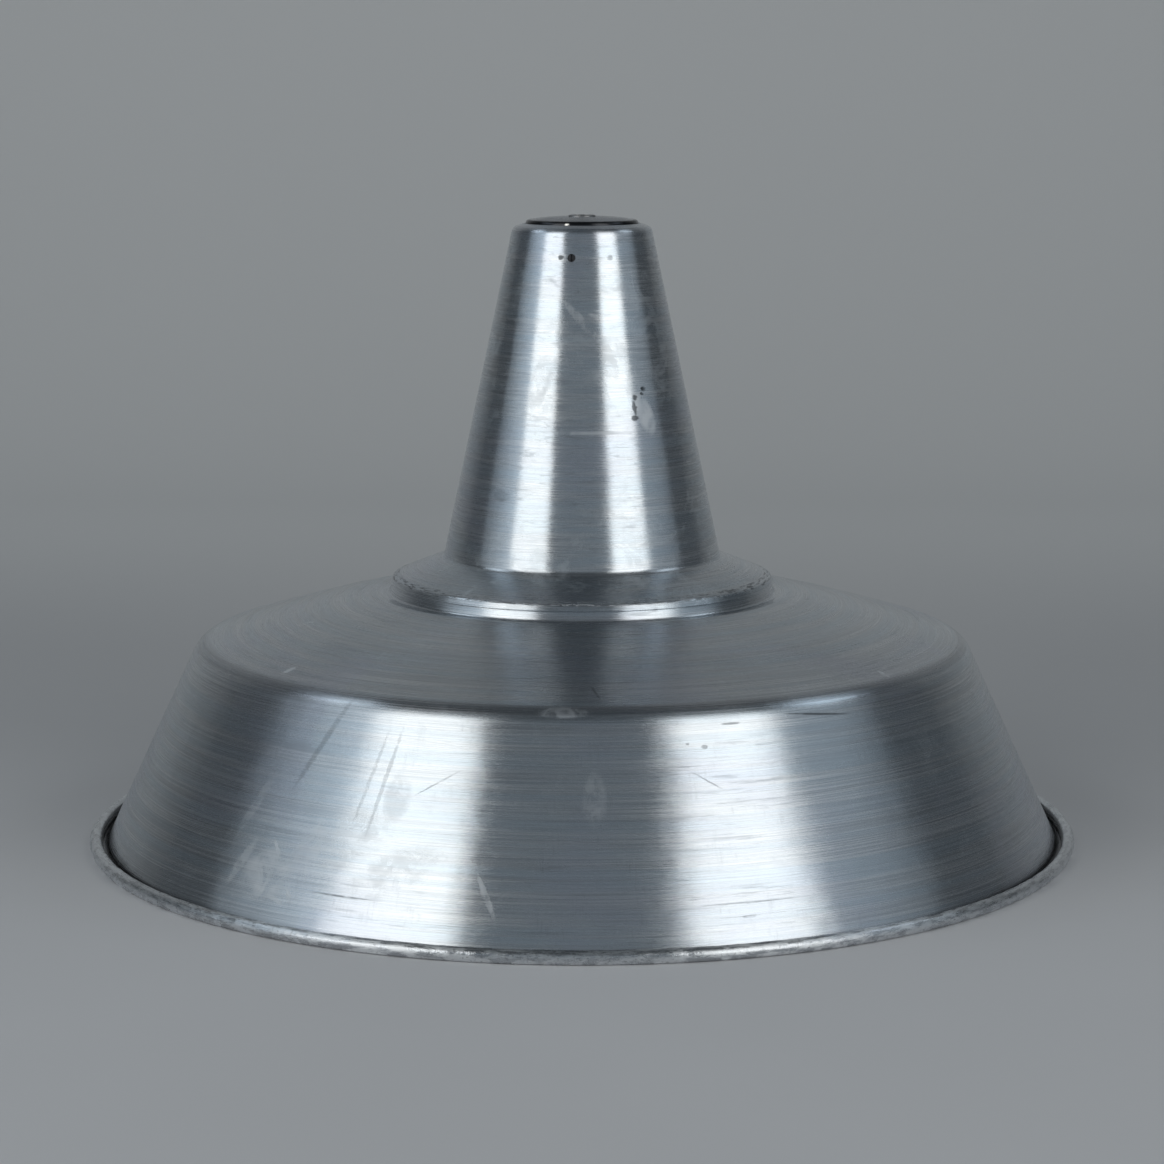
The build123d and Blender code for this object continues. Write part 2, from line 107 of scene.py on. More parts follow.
NECK_CORNERS = [
    (23.4, 248.4, 0),
    (*NECK_TOP, 3.3),
    (*NECK_FOOT, 3.0),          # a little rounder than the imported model's 1.6
    (*FLANGE_EDGE, 1.8),
    (*CRIMP_END, 0),
]
SEAM_CORNER = beside(NECK_CORNERS, SHEET + SEAM_GAP)[3]
REFLECTOR_CORNERS = [
    (LIP_FOOT, flange_underside(LIP_FOOT) - SEAM_GAP, 0),
    (SEAM_CORNER[0], SEAM_CORNER[1], 1.3),
    (78.15, 100.1, 1.6),
    (83.7, 100.85, 1.6),
    (115.0, 93.33, 150.0),
    (155.34, 81.63, 10.5),
    (193.1, SHEET, 2.0),
    (RIM_RADIUS - BEAD_RADIUS, SHEET, 0),
]
NECK_SLOPE = (NECK_FOOT[0] - NECK_TOP[0]) / (NECK_TOP[1] - NECK_FOOT[1])
SET_SCREW_HEIGHT = 236.2
SET_SCREW_TURN = -7.9
SET_SCREW_HOLE = 1.6


# ---------------------------------------------------------------- turned meshes
def rounded(corners, step, arc_step=6.0):
    """Points along a line of (radius, height, fillet) corners, with its arcs and runs divided."""
    stations = []
    for before, corner, after in zip(corners, corners[1:], corners[2:]):
        here = Vector(corner[:2])
        back = (Vector(before[:2]) - here).normalized()
        ahead = (Vector(after[:2]) - here).normalized()
        half = back.angle(ahead) / 2
        reach = corner[2] / math.tan(half)
        middle = here + (back + ahead).normalized() * (corner[2] / math.sin(half))
        turn = math.pi - 2 * half
        pieces = max(4, math.ceil(math.degrees(turn) / arc_step))
        start = here + back * reach - middle
        side = 1 if back.cross(ahead) < 0 else -1
        for piece in range(pieces + 1):
            angle = side * turn * piece / pieces
            cosine, sine = math.cos(angle), math.sin(angle)
            spoke = Vector((start.x * cosine - start.y * sine, start.x * sine + start.y * cosine))
            stations.append(middle + spoke)
    stations = [Vector(corners[0][:2])] + stations + [Vector(corners[-1][:2])]
    line = [stations[0]]
    for a, b in zip(stations, stations[1:]):
        pieces = max(1, math.ceil((b - a).length / step))
        line += [a.lerp(b, piece / pieces) for piece in range(1, pieces + 1)]
    return line


def curl(radius, arc_step=8.0):
    """Points round the rim's bead, from its lowest point outwards and up."""
    middle = Vector((RIM_RADIUS - BEAD_RADIUS, BEAD_RADIUS))
    count = math.ceil(BEAD_CURL / arc_step)
    angles = [math.radians(-90 + BEAD_CURL * number / count) for number in range(count + 1)]
    return [middle + radius * Vector((math.cos(angle), math.sin(angle))) for angle in angles]


def mesh_object(name, vertices, faces, sharp=35.0):
    """New object of smooth faces with sharp creases where they meet at more than an angle."""
    mesh = bpy.data.meshes.new(name)
    mesh.from_pydata(vertices, [], faces)
    mesh.polygons.foreach_set("use_smooth", [True] * len(mesh.polygons))
    mesh.set_sharp_from_angle(angle=math.radians(sharp))
    mesh.update()
    piece = bpy.data.objects.new(name, mesh)
    bpy.context.scene.collection.objects.link(piece)
    return piece


def turn(name, section, segments, shape=None, sharp=35.0):
    """Closed section of (radius, height) in millimetres, turned about Z; shape() moves each point."""
    count = len(section)
    vertices = []
    for segment in range(segments):
        angle = 2 * math.pi * segment / segments
        cosine, sine = math.cos(angle), math.sin(angle)
        for r, z in section:
            if shape:
                r, z = shape(angle, r, z)
            vertices.append((r * cosine * MM, r * sine * MM, z * MM))
    faces = []
    for segment in range(segments):
        here = segment * count
        there = (segment + 1) % segments * count
        for point in range(count):
            following = (point + 1) % count
            faces.append((here + point, here + following, there + following, there + point))
    return mesh_object(name, vertices, faces, sharp)


def ring_noise(angle, size, position, seed):
    """Smooth noise round the axis: size is the number of lumps per radian."""
    place = Vector((math.cos(angle) * size, math.sin(angle) * size, position))
    return noise.noise(place + Vector((seed * 7.3, seed * 3.1, seed * 5.7)))


def between(value, low, high):
    """0 below low, 1 above high, straight in between."""
    return min(1.0, max(0.0, (value - low) / (high - low)))


def reflector_shape(angle, r, z):
    """Slight hand-spun unevenness, and a lumpy, worn bead that stays inside its true circle."""
    middle = Vector((RIM_RADIUS - BEAD_RADIUS, BEAD_RADIUS))
    away = Vector((r, z)) - middle
    if away.length > BEAD_RADIUS - SHEET - 0.1 and r > middle.x - BEAD_RADIUS and z > SHEET + 0.1:
        lump = 0.08 + 0.20 * ring_noise(angle, 26, 0, 3) + 0.12 * ring_noise(angle, 90, z / 2, 4)
        away *= 1 - max(0.0, lump) / BEAD_RADIUS
        return middle.x + away.x, middle.y + away.y
    wave = 0.16 * ring_noise(angle, 1.1, z / 60, 1) + 0.05 * ring_noise(angle, 4.0, z / 25, 2)
    free = between(r, 79, 92) * between(z, 1.5, 13.5)
    return r + wave * free, z + wave * 0.4 * free


def neck_shape(angle, r, z):
    """Slight unevenness of the cone, and the burred edge where it is crimped down."""
    rough = 0.05 * ring_noise(angle, 60, z, 7) + 0.10 * ring_noise(angle, 14, z / 3, 8)
    crimped = between(r, 74.6, 76.0) * between(107.4 - z, 0, 1.6)
    wave = 0.07 * ring_noise(angle, 1.3, z / 45, 6)
    free = between(245 - z, 0, 12) * between(z, 112, 122)
    return r + wave * free + abs(rough) * crimped, z


def reflector_mesh():
    """The spun bowl from its lip under the flange to the rolled bead."""
    upper = rounded(REFLECTOR_CORNERS, 2.4) + curl(BEAD_RADIUS - SHEET)[1:]
    lower = rounded(beside(REFLECTOR_CORNERS, SHEET), 2.4) + curl(BEAD_RADIUS)[1:]
    return turn("reflector_shell", upper + lower[::-1], 720, reflector_shape)


def neck_mesh():
    """The spun cone with its flange, before its set-screw holes are drilled."""
    upper = rounded(NECK_CORNERS, 1.6)
    lower = rounded(beside(NECK_CORNERS, SHEET), 1.6)
    return turn("neck_shell", upper + lower[::-1], 360, neck_shape)


def drill(piece, place, direction, radius, depth):
    """Cuts a round hole, in millimetres, along a direction."""
    bpy.ops.mesh.primitive_cylinder_add(
        vertices=32, radius=radius * MM, depth=depth * MM, location=place * MM)
    cutter = bpy.context.object
    cutter.rotation_euler = direction.to_track_quat("Z", "Y").to_euler()
    cut = piece.modifiers.new("hole", "BOOLEAN")
    cut.operation = "DIFFERENCE"
    cut.solver = "EXACT"
    cut.object = cutter
    bpy.context.view_layer.objects.active = piece
    bpy.ops.object.modifier_apply(modifier=cut.name)
    bpy.data.objects.remove(cutter)


def drill_neck(piece):
    """Cuts the three set-screw holes square to the cone."""
    tilt = math.atan(NECK_SLOPE)
    radius = NECK_TOP[0] + (NECK_TOP[1] - SET_SCREW_HEIGHT) * NECK_SLOPE
    for number in range(3):
        azimuth = math.radians(-90 + SET_SCREW_TURN + 120 * number)
        outward = Vector((math.cos(azimuth), math.sin(azimuth), 0))
        place = outward * radius + Vector((0, 0, SET_SCREW_HEIGHT))
        drill(piece, place, outward * math.cos(tilt) + Vector((0, 0, math.sin(tilt))), SET_SCREW_HOLE, 6)


# ---------------------------------------------------------------- threads and the spring
def thread(pitch, depth, low, high, inner, outer):
    """Shape function that sinks a round helical thread into the wall between two radii."""
    def shape(angle, r, z):
        fade = between(z, low, low + pitch) * between(high - z, 0, pitch)
        crest = 0.5 + 0.5 * math.cos(2 * math.pi * z / pitch - angle)
        return (r - depth * crest * fade, z) if inner <= r <= outer else (r, z)
    return shape


def screw_shell_mesh():
    """Thin brass shell with the pressed round thread of a 27 mm lamp cap."""
    corners = [
        (4.5, 194.5, 0),
        (12.9, 194.5, 1.0),
        (12.9, 187.5, 0.2),
        (13.85, 187.0, 0.7),
        (13.85, 170.5, 0),
    ]
    section = rounded(corners, 0.3) + rounded(beside(corners, 0.5), 0.3)[::-1]
    shape = thread(3.629, 1.05, 171.5, 186.5, 13.2, 14.0)
    shell = turn("screw_shell_thread", section, 144, shape, 50)
    for side in (-1, 1):
        drill(shell, Vector((0, side * 9.0, 194.3)), Vector((0, 0, 1)), 1.52, 4)
    return shell


def nipple_mesh():
    """Short tube with a 10 mm x 1 thread over its whole length."""
    inner, outer, foot, top = 3.6, 4.66, 222.5, 242.5
    corners = [(inner, top, 0), (outer, top, 0.15), (outer, foot, 0.15), (inner, foot, 0)]
    return turn("nipple_thread", rounded(corners, 0.11, 30), 96, thread(1.0, 0.42, foot, top, 4.4, 5.0), 60)


def coil(name, radius, wire, foot, top, turns, steps=40, sides=12):
    """Closed-end compression spring as one swept tube."""
    centres = []
    count = (turns + 1) * steps
    for number in range(count + 1):
        share = number / count
        climb = min(1.0, max(0.0, (share * (turns + 1) - 0.5) / turns))
        angle = 2 * math.pi * (turns + 1) * share
        z = foot + (top - foot) * climb
        centres.append(Vector((radius * math.cos(angle), radius * math.sin(angle), z)))
    vertices = []
    for number, centre in enumerate(centres):
        outward = Vector((centre.x, centre.y, 0)).normalized()
        along = (centres[min(number + 1, count)] - centres[max(number - 1, 0)]).normalized()
        up = along.cross(outward).normalized()
        for side in range(sides):
            angle = 2 * math.pi * side / sides
            point = centre + wire / 2 * (outward * math.cos(angle) + up * math.sin(angle))
            vertices.append(point * MM)
    faces = []
    for number in range(count):
        for side in range(sides):
            following = (side + 1) % sides
            a, b = number * sides + side, number * sides + following
            faces.append((a, a + sides, b + sides, b))
    faces.append(tuple(range(sides)))
    faces.append(tuple(reversed(range(count * sides, (count + 1) * sides))))
    return mesh_object(name, vertices, faces, 60)


# ---------------------------------------------------------------- materials
class Surface:
    """A material under construction: each method adds a node and returns its output."""

    def __init__(self, name, metallic=0.0, roughness=0.4, **constants):
        self.material = bpy.data.materials.new(name)
        self.material.use_nodes = True
        self.tree = self.material.node_tree
        self.shader = self.tree.nodes["Principled BSDF"]
        self.shader.inputs["Metallic"].default_value = metallic
        self.shader.inputs["Roughness"].default_value = roughness
        for socket, value in constants.items():
            self.shader.inputs[socket.replace("_", " ")].default_value = value
        place = self.node("ShaderNodeTexCoord").outputs["Object"]
        split = self.node("ShaderNodeSeparateXYZ", {"Vector": place})
        self.place = place
        self.x, self.y, self.z = split.outputs
        self.radius = self.math("SQRT", self.math("ADD", self.math("MULTIPLY", self.x, self.x),
                                                  self.math("MULTIPLY", self.y, self.y)))
        self.azimuth = self.math("ARCTAN2", self.x, self.math("MULTIPLY", self.y, -1.0))
        self.profile = self.math("SUBTRACT", self.radius, self.z)
        wander = self.noise(self.place, 900.0, 2.0, 0.6)
        self.ragged = self.math("MULTIPLY", self.math("SUBTRACT", wander, 0.5), 1.6 * MM)

    def node(self, kind, inputs=None, **settings):
        node = self.tree.nodes.new(kind)
        for name, value in settings.items():
            setattr(node, name, value)
        for name, value in (inputs or {}).items():
            self.feed(node.inputs[name], value)
        return node

    def feed(self, socket, value):
        if isinstance(value, bpy.types.NodeSocket):
            self.tree.links.new(value, socket)
        else:
            socket.default_value = value

    def math(self, operation, a, b=0.0, c=0.0):
        return self.node("ShaderNodeMath", {0: a, 1: b, 2: c}, operation=operation).outputs[0]

    def scaled(self, value, low, high, to_low=0.0, to_high=1.0):
        """Value from low..high brought smoothly and with limits to to_low..to_high."""
        node = self.node("ShaderNodeMapRange", {"Value": value}, interpolation_type="SMOOTHSTEP")
        for name, number in (("From Min", low), ("From Max", high), ("To Min", to_low), ("To Max", to_high)):
            node.inputs[name].default_value = number
        return node.outputs["Result"]

    def noise(self, vector, scale, detail=2.0, roughness=0.5, distortion=0.0):
        node = self.node("ShaderNodeTexNoise", {"Vector": vector, "Scale": scale, "Detail": detail,
                                                "Roughness": roughness, "Distortion": distortion})
        return node.outputs["Fac"]

    def rings(self, per_radian, per_metre, seed=0.0):
        """Coordinates for streaks that run round the axis, with no seam."""
        x = self.math("DIVIDE", self.x, self.radius)
        y = self.math("DIVIDE", self.y, self.radius)
        node = self.node("ShaderNodeCombineXYZ", {
            "X": self.math("MULTIPLY", x, per_radian),
            "Y": self.math("MULTIPLY", y, per_radian),
            "Z": self.math("MULTIPLY_ADD", self.profile, per_metre, seed),
        })
        return node.outputs[0]

    def mix(self, factor, a, b):
        node = self.node("ShaderNodeMix", data_type="RGBA")
        self.feed(node.inputs["Factor"], factor)
        self.feed(node.inputs[6], a)
        self.feed(node.inputs[7], b)
        return node.outputs[2]

    def bump(self, height, distance, under=None):
        inputs = {"Height": height, "Distance": distance, "Strength": 1.0}
        if under is not None:
            inputs["Normal"] = under
        return self.node("ShaderNodeBump", inputs).outputs[0]

    def set(self, **links):
        for name, value in links.items():
            self.feed(self.shader.inputs[name.replace("_", " ")], value)
        return self.material

    def spot(self, azimuth, height, half_width, half_height, tilt=0.0, core=0.25):
        """1 at a place on the turned surface, falling to 0 at an ellipse's edge; millimetres, degrees."""
        turned = self.math("SUBTRACT", self.azimuth, math.radians(azimuth))
        across = self.math("MULTIPLY", turned, self.radius)
        up = self.math("SUBTRACT", self.z, height * MM)
        across = self.math("ADD", across, self.ragged)
        cosine, sine = math.cos(math.radians(tilt)), math.sin(math.radians(tilt))
        u = self.math("MULTIPLY_ADD", up, sine, self.math("MULTIPLY", across, cosine))
        v = self.math("MULTIPLY_ADD", up, cosine, self.math("MULTIPLY", across, -sine))
        u = self.math("DIVIDE", u, half_width * MM)
        v = self.math("DIVIDE", v, half_height * MM)
        away = self.math("MULTIPLY_ADD", u, u, self.math("MULTIPLY", v, v))
        return self.scaled(away, core, 1.0, 1.0, 0.0)

    def marks(self, places):
        """The strongest of several (strength, azimuth, height, half width, half height, tilt) spots."""
        total = 0.0
        for strength, *place in places:
            total = self.math("MAXIMUM", self.math("MULTIPLY", self.spot(*place), strength), total)
        return total

    def band(self, value, low, high, soft):
        """1 where a value lies between two limits, with soft ends."""
        rise = self.scaled(value, low - soft, low)
        return self.math("MULTIPLY", rise, self.scaled(value, high, high + soft, 1.0, 0.0))


def colour(red, green, blue):
    return (red, green, blue, 1.0)


def spun_aluminium(name, dark_marks=(), pale_marks=(), haze=0.1):
    """Aluminium spun on a lathe: fine rings, anisotropic sheen, bluish patches and handling wear."""
    s = Surface(name, metallic=1.0, Anisotropic=0.88)
    tangent = s.node("ShaderNodeTangent", direction_type="RADIAL", axis="Z").outputs[0]
    s.set(Tangent=tangent)
    s.shader.inputs["Anisotropic Rotation"].default_value = 0.25
    bands = s.noise(s.rings(0.9, 160), 1.0, 3.0, 0.55)
    lines = s.noise(s.rings(1.8, 2200, 3.0), 1.0, 4.0, 0.65)
    hairs = s.noise(s.rings(3.5, 4600, 9.0), 1.0, 2.0, 0.6)
    patches = s.noise(s.place, 14.0, 4.0, 0.6, 0.6)
    rubbed = s.noise(s.rings(4.0, 380, 6.0), 1.0, 5.0, 0.7, 0.5)
    clouds = s.noise(s.place, 75.0, 4.0, 0.65, 0.7)
    wisps = s.noise(s.place, 80.0, 5.0, 0.7, 1.0)
    hatch = s.noise(s.rings(420.0, 90, 4.0), 1.0, 3.0, 0.6)
    grey = s.mix(s.scaled(lines, 0.38, 0.62), colour(0.46, 0.485, 0.51), colour(0.67, 0.69, 0.71))
    cool = s.mix(s.scaled(bands, 0.40, 0.65, 0.0, 0.8), grey, colour(0.50, 0.56, 0.61))
    fine_grey = s.mix(s.scaled(hairs, 0.50, 0.60, 0.0, 0.40), cool, colour(0.36, 0.38, 0.41))
    tint = s.mix(s.scaled(patches, 0.48, 0.66, 0.0, 0.35), fine_grey, colour(0.53, 0.55, 0.64))
    worn = s.math("MULTIPLY", s.scaled(rubbed, 0.54, 0.68), s.scaled(patches, 0.38, 0.58, 0.25, 1.0))
    tint = s.mix(s.math("MULTIPLY", worn, 0.4), tint, colour(0.40, 0.43, 0.46))
    crossed = s.math("MULTIPLY", s.scaled(hatch, 0.52, 0.66), s.scaled(clouds, 0.50, 0.62))
    tint = s.mix(s.math("MULTIPLY", crossed, 0.45), tint, colour(0.36, 0.38, 0.41))
    milky = s.math("MULTIPLY", s.scaled(clouds, 0.48, 0.70), s.scaled(patches, 0.44, 0.60, haze, 0.1 * haze))
    tint = s.mix(milky, tint, colour(0.66, 0.71, 0.75))
    scuffed = s.math("MULTIPLY", s.marks(pale_marks), s.scaled(wisps, 0.38, 0.62, 0.1, 1.0))
    # dark marks: real stains, spots and scratches, and on the bowl also the painted shade along a crease
    stains_and_crease_shade = s.math("MULTIPLY", s.marks(dark_marks), s.scaled(wisps, 0.34, 0.50, 0.35, 1.0))
    tint = s.mix(s.math("MULTIPLY", scuffed, 0.75), tint, colour(0.74, 0.77, 0.80))
    tint = s.mix(stains_and_crease_shade, tint, colour(0.045, 0.05, 0.055))
    rough = s.math("ADD", s.scaled(lines, 0.3, 0.7, 0.18, 0.28), s.scaled(patches, 0.3, 0.8, 0.0, 0.06))
    rough = s.math("MULTIPLY_ADD", worn, 0.10, rough)
    rough = s.math("MULTIPLY_ADD", scuffed, 0.20, rough)
    rough = s.math("MULTIPLY_ADD", milky, 0.20, rough)
    hazy = s.math("MAXIMUM", s.math("MULTIPLY", scuffed, 0.5), s.math("MULTIPLY", milky, 0.35))
    s.set(Metallic=s.math("SUBTRACT", 1.0, hazy))
    dents = s.noise(s.place, 38.0, 2.0, 0.5)
    hollows = s.bump(dents, 0.22 * MM)
    waves = s.bump(bands, 0.05 * MM, hollows)
    rings = s.bump(lines, 0.016 * MM, waves)
    fine = s.bump(hairs, 0.006 * MM, rings)
    return s, tint, rough, fine


def reflector_material():
    """Spun bowl: smears and scratches on the skirt, painted shade in the groove before the bead, a painted
    dark line round the shoulder and a chalky bead lightened further as a painted highlight.
    """
    dark = [
        (0.75, 33.0, 76.0, 17.0, 0.45, -6.0),      # broken line under the shoulder, right
        (0.6, 19.8, 75.8, 4.5, 0.5, 0.0),
        (0.5, 15.8, 68.6, 1.6, 0.9, 0.0),          # small bruises in the right-hand highlight
        (0.5, 13.6, 69.8, 0.8, 0.5, 0.0),
        (0.5, 15.5, 57.5, 7.5, 0.35, -30.0),
        (0.4, 18.4, 12.2, 3.5, 0.6, 0.0),
        (0.4, 19.0, 16.8, 22.0, 0.35, 0.0),
        (0.28, -35.4, 66.0, 23.0, 1.5, 64.0),      # painted shade along a slanting crease, then two slanting scratches, left
        (0.28, -25.1, 55.0, 22.0, 1.0, 80.0),
        (0.24, -27.1, 56.0, 20.0, 0.9, 78.0),
        (0.45, -18.1, 56.0, 11.0, 0.35, 30.0),
        (0.22, -23.0, 50.0, 6.5, 9.0, 0.0),
        (0.6, -27.8, 16.0, 15.0, 0.35, 0.0),
        (0.5, 2.0, 85.6, 2.4, 0.4, -45.0),
    ]
    pale = [
        (0.8, -38.5, 19.0, 15.0, 10.0, 10.0),      # dried smear low on the left
        (1.0, -38.0, 13.0, 12.0, 1.2, -16.0),
        (1.0, -35.2, 17.5, 8.0, 1.3, -62.0),
        (0.9, -37.2, 25.0, 9.0, 1.0, -48.0),
        (0.5, -43.0, 21.0, 11.0, 2.6, 62.0),
        (0.7, -33.2, 24.0, 8.0, 0.8, -80.0),
        (0.5, -30.0, 33.0, 26.0, 12.0, 25.0),
        (0.3, -43.6, 41.0, 15.0, 2.4, 66.0),
        (0.4, -22.0, 25.0, 22.0, 8.0, 25.0),
        (0.9, -10.6, 20.0, 9.0, 1.3, -62.0),
        (0.3, 1.5, 52.0, 5.0, 11.0, 0.0),
        (0.6, -2.5, 80.8, 11.0, 2.0, 0.0),
        (1.0, -70.2, 93.3, 1.4, 1.0, 0.0),
        (1.0, -49.9, 84.7, 1.6, 1.1, 0.0),
        (1.0, 50.1, 83.7, 1.4, 1.0, 0.0),
    ]
    s, tint, rough, fine = spun_aluminium("reflector_aluminium_look", dark, pale)
    # painted shade: the gutter between skirt and bead is blackened all round, mottled a little like grime
    shade_mottle = s.noise(s.rings(5.0, 500, 5.0), 1.0, 3.0, 0.6)
    hollow = s.band(s.radius, 0.1926, 0.1952, 0.0009)
    gutter_shade = s.math("MULTIPLY", hollow, s.scaled(shade_mottle, 0.25, 0.6, 0.75, 1.0))
    tint = s.mix(gutter_shade, tint, colour(0.05, 0.05, 0.055))
    bead = s.scaled(s.radius, 0.1953, 0.1959)
    chalk = s.noise(s.rings(22.0, 500, 7.0), 1.0, 5.0, 0.72)
    pits = s.noise(s.place, 700.0, 3.0, 0.65)
    # chalky whitening of the bead, lightened further to paint the bead's highlight
    chalk_and_painted_highlight = s.math("MULTIPLY", bead, s.scaled(chalk, 0.43, 0.57))
    tint = s.mix(s.math("MULTIPLY", bead, 0.5), tint, colour(0.50, 0.50, 0.51))
    tint = s.mix(s.math("MULTIPLY", chalk_and_painted_highlight, 0.9), tint, colour(0.80, 0.82, 0.84))
    pitted = s.math("MULTIPLY", bead, s.scaled(pits, 0.58, 0.68, 0.0, 0.4))
    tint = s.mix(pitted, tint, colour(0.12, 0.12, 0.13))
    rough = s.math("MULTIPLY_ADD", chalk_and_painted_highlight, 0.15, rough)
    hammered = s.bump(s.math("MULTIPLY", pits, bead), 0.1 * MM, fine)
    # painted shade: a dark line round the shoulder's bend
    shoulder = s.band(s.z, 0.0806, 0.0822, 0.0010)
    tint = s.mix(s.math("MULTIPLY", shoulder, 0.35), tint, colour(0.14, 0.15, 0.17))
    return s.set(Base_Color=tint, Roughness=rough, Normal=hammered)


def neck_material():
    """Spun neck: pits by the set screws, a few dark spots and the blackened crimped edge."""
    dark = [
        (0.85, -16.0, 236.3, 1.5, 1.2, 20.0),      # pits in line with the set screw
        (0.5, 21.5, 236.2, 1.6, 1.3, 0.0),
        (0.95, 35.8, 185.4, 1.5, 1.2, 0.0),        # dark spots, right
        (0.95, 34.4, 183.6, 0.9, 0.8, 0.0),
        (0.8, 29.8, 182.2, 1.3, 1.4, 0.0),
        (0.75, 29.0, 178.2, 1.1, 3.6, 8.0),
        (0.8, 28.6, 174.4, 1.9, 1.4, 0.0),
        (0.25, -39.4, 144.0, 5.0, 3.0, -10.0),
    ]
    pale = [
        (0.6, -0.5, 212.0, 12.5, 2.0, -48.0),      # slanting rub marks
        (0.9, 7.5, 213.0, 3.2, 2.2, -30.0),
        (0.8, 0.0, 236.2, 12.0, 0.45, 0.0),
        (0.6, -2.0, 169.1, 27.0, 0.8, 0.0),
        (1.0, 35.0, 176.0, 4.5, 10.0, 20.0),
        (0.5, -24.0, 188.0, 5.0, 12.0, -10.0),
        (0.5, 16.0, 196.0, 4.0, 9.0, 15.0),
    ]
    s, tint, rough, fine = spun_aluminium("neck_aluminium_look", dark, pale, 0.4)
    edge = s.band(s.z, 0.1066, 0.1079, 0.0003)
    side = s.scaled(s.math("ABSOLUTE", s.azimuth), 0.55, 1.05, 0.45, 1.0)
    nicks = s.noise(s.rings(16.0, 700, 2.0), 1.0, 4.0, 0.7)
    burr = s.math("MULTIPLY", s.math("MULTIPLY", edge, side), s.scaled(nicks, 0.50, 0.60))
    tint = s.mix(s.math("MULTIPLY", burr, 0.85), tint, colour(0.05, 0.055, 0.065))
    return s.set(Base_Color=tint, Roughness=rough, Normal=s.bump(burr, -0.15 * MM, fine))


def cap_material():
    """Dull cap, darkened all over, with painted shade blackening its edge where it stands in the neck's
    mouth.
    """
    s, tint, rough, fine = spun_aluminium("cap_aluminium_look")
    tint = s.mix(0.55, tint, colour(0.20, 0.20, 0.215))
    # painted shade: the cap's edge, down in the neck's mouth, is blackened
    edge = s.scaled(s.radius, 0.0205, 0.0219)
    tint = s.mix(s.math("MULTIPLY", edge, 0.92), tint, colour(0.02, 0.02, 0.022))
    tint = s.mix(s.spot(-15.0, 248.0, 1.4, 1.6), tint, colour(0.80, 0.78, 0.74))
    return s.set(Base_Color=tint, Roughness=rough, Normal=fine)


def plain_metal(name, low, high, roughness, grain=900.0):
    """Small metal piece: two-tone tarnish, fine grain and varied gloss."""
    s = Surface(name, metallic=1.0)
    patches = s.noise(s.place, grain * 0.3, 4.0, 0.65)
    fine = s.noise(s.place, grain, 3.0, 0.6)
    tone = s.mix(s.scaled(patches, 0.3, 0.7), colour(*low), colour(*high))
    rough = s.scaled(fine, 0.3, 0.7, roughness - 0.07, roughness + 0.1)
    return s.set(Base_Color=tone, Roughness=rough, Normal=s.bump(fine, 0.01 * MM))


def porcelain(name, glazed):
    """White porcelain with faint speckle; the glazed kind has a clear gloss over it."""
    s = Surface(name)
    clouds = s.noise(s.place, 60.0, 3.0, 0.6)
    specks = s.noise(s.place, 1500.0, 2.0, 0.5)
    body = s.mix(s.scaled(clouds, 0.3, 0.7), colour(0.72, 0.69, 0.62), colour(0.80, 0.78, 0.72))
    body = s.mix(s.scaled(specks, 0.68, 0.76, 0.0, 0.6), body, colour(0.42, 0.36, 0.28))
    low, high = (0.12, 0.22) if glazed else (0.55, 0.75)
    if glazed:
        s.shader.inputs["Coat Weight"].default_value = 0.6
        s.shader.inputs["Coat Roughness"].default_value = 0.06
    rough = s.scaled(clouds, 0.3, 0.7, low, high)
    return s.set(Base_Color=body, Roughness=rough, Normal=s.bump(specks, 0.01 * MM if glazed else 0.03 * MM))


def studio_grey(name):
    """Matt paper sweep with a faint mottling, a painted shadow just behind the object and painted light
    where it rises.
    """
    s = Surface(name, roughness=0.75)
    clouds = s.noise(s.place, 3.0, 3.0, 0.5)
    floor = s.mix(s.scaled(clouds, 0.3, 0.7), colour(*FLOOR_TONE), colour(*[1.04 * c for c in FLOOR_TONE]))
    # painted shadow: the floor darkens behind the object
    shaded = s.mix(s.scaled(s.y, -0.3, 0.3), floor, colour(*SHADED_TONE))
    # painted light: the backdrop is lighter where it rises
    return s.set(Base_Color=s.mix(s.scaled(s.y, 0.35, 1.0), shaded, colour(*BACKDROP_TONE)))


# ---------------------------------------------------------------- the pieces
def dress(node, material):
    """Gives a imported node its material; its mesh and shading stay as packed."""
    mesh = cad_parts[node].data
    mesh.materials.clear()
    mesh.materials.append(material)


def place_piece(piece, material, node):
    piece.data.materials.append(material)
    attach(piece, BODY)
    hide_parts(node)
    return piece


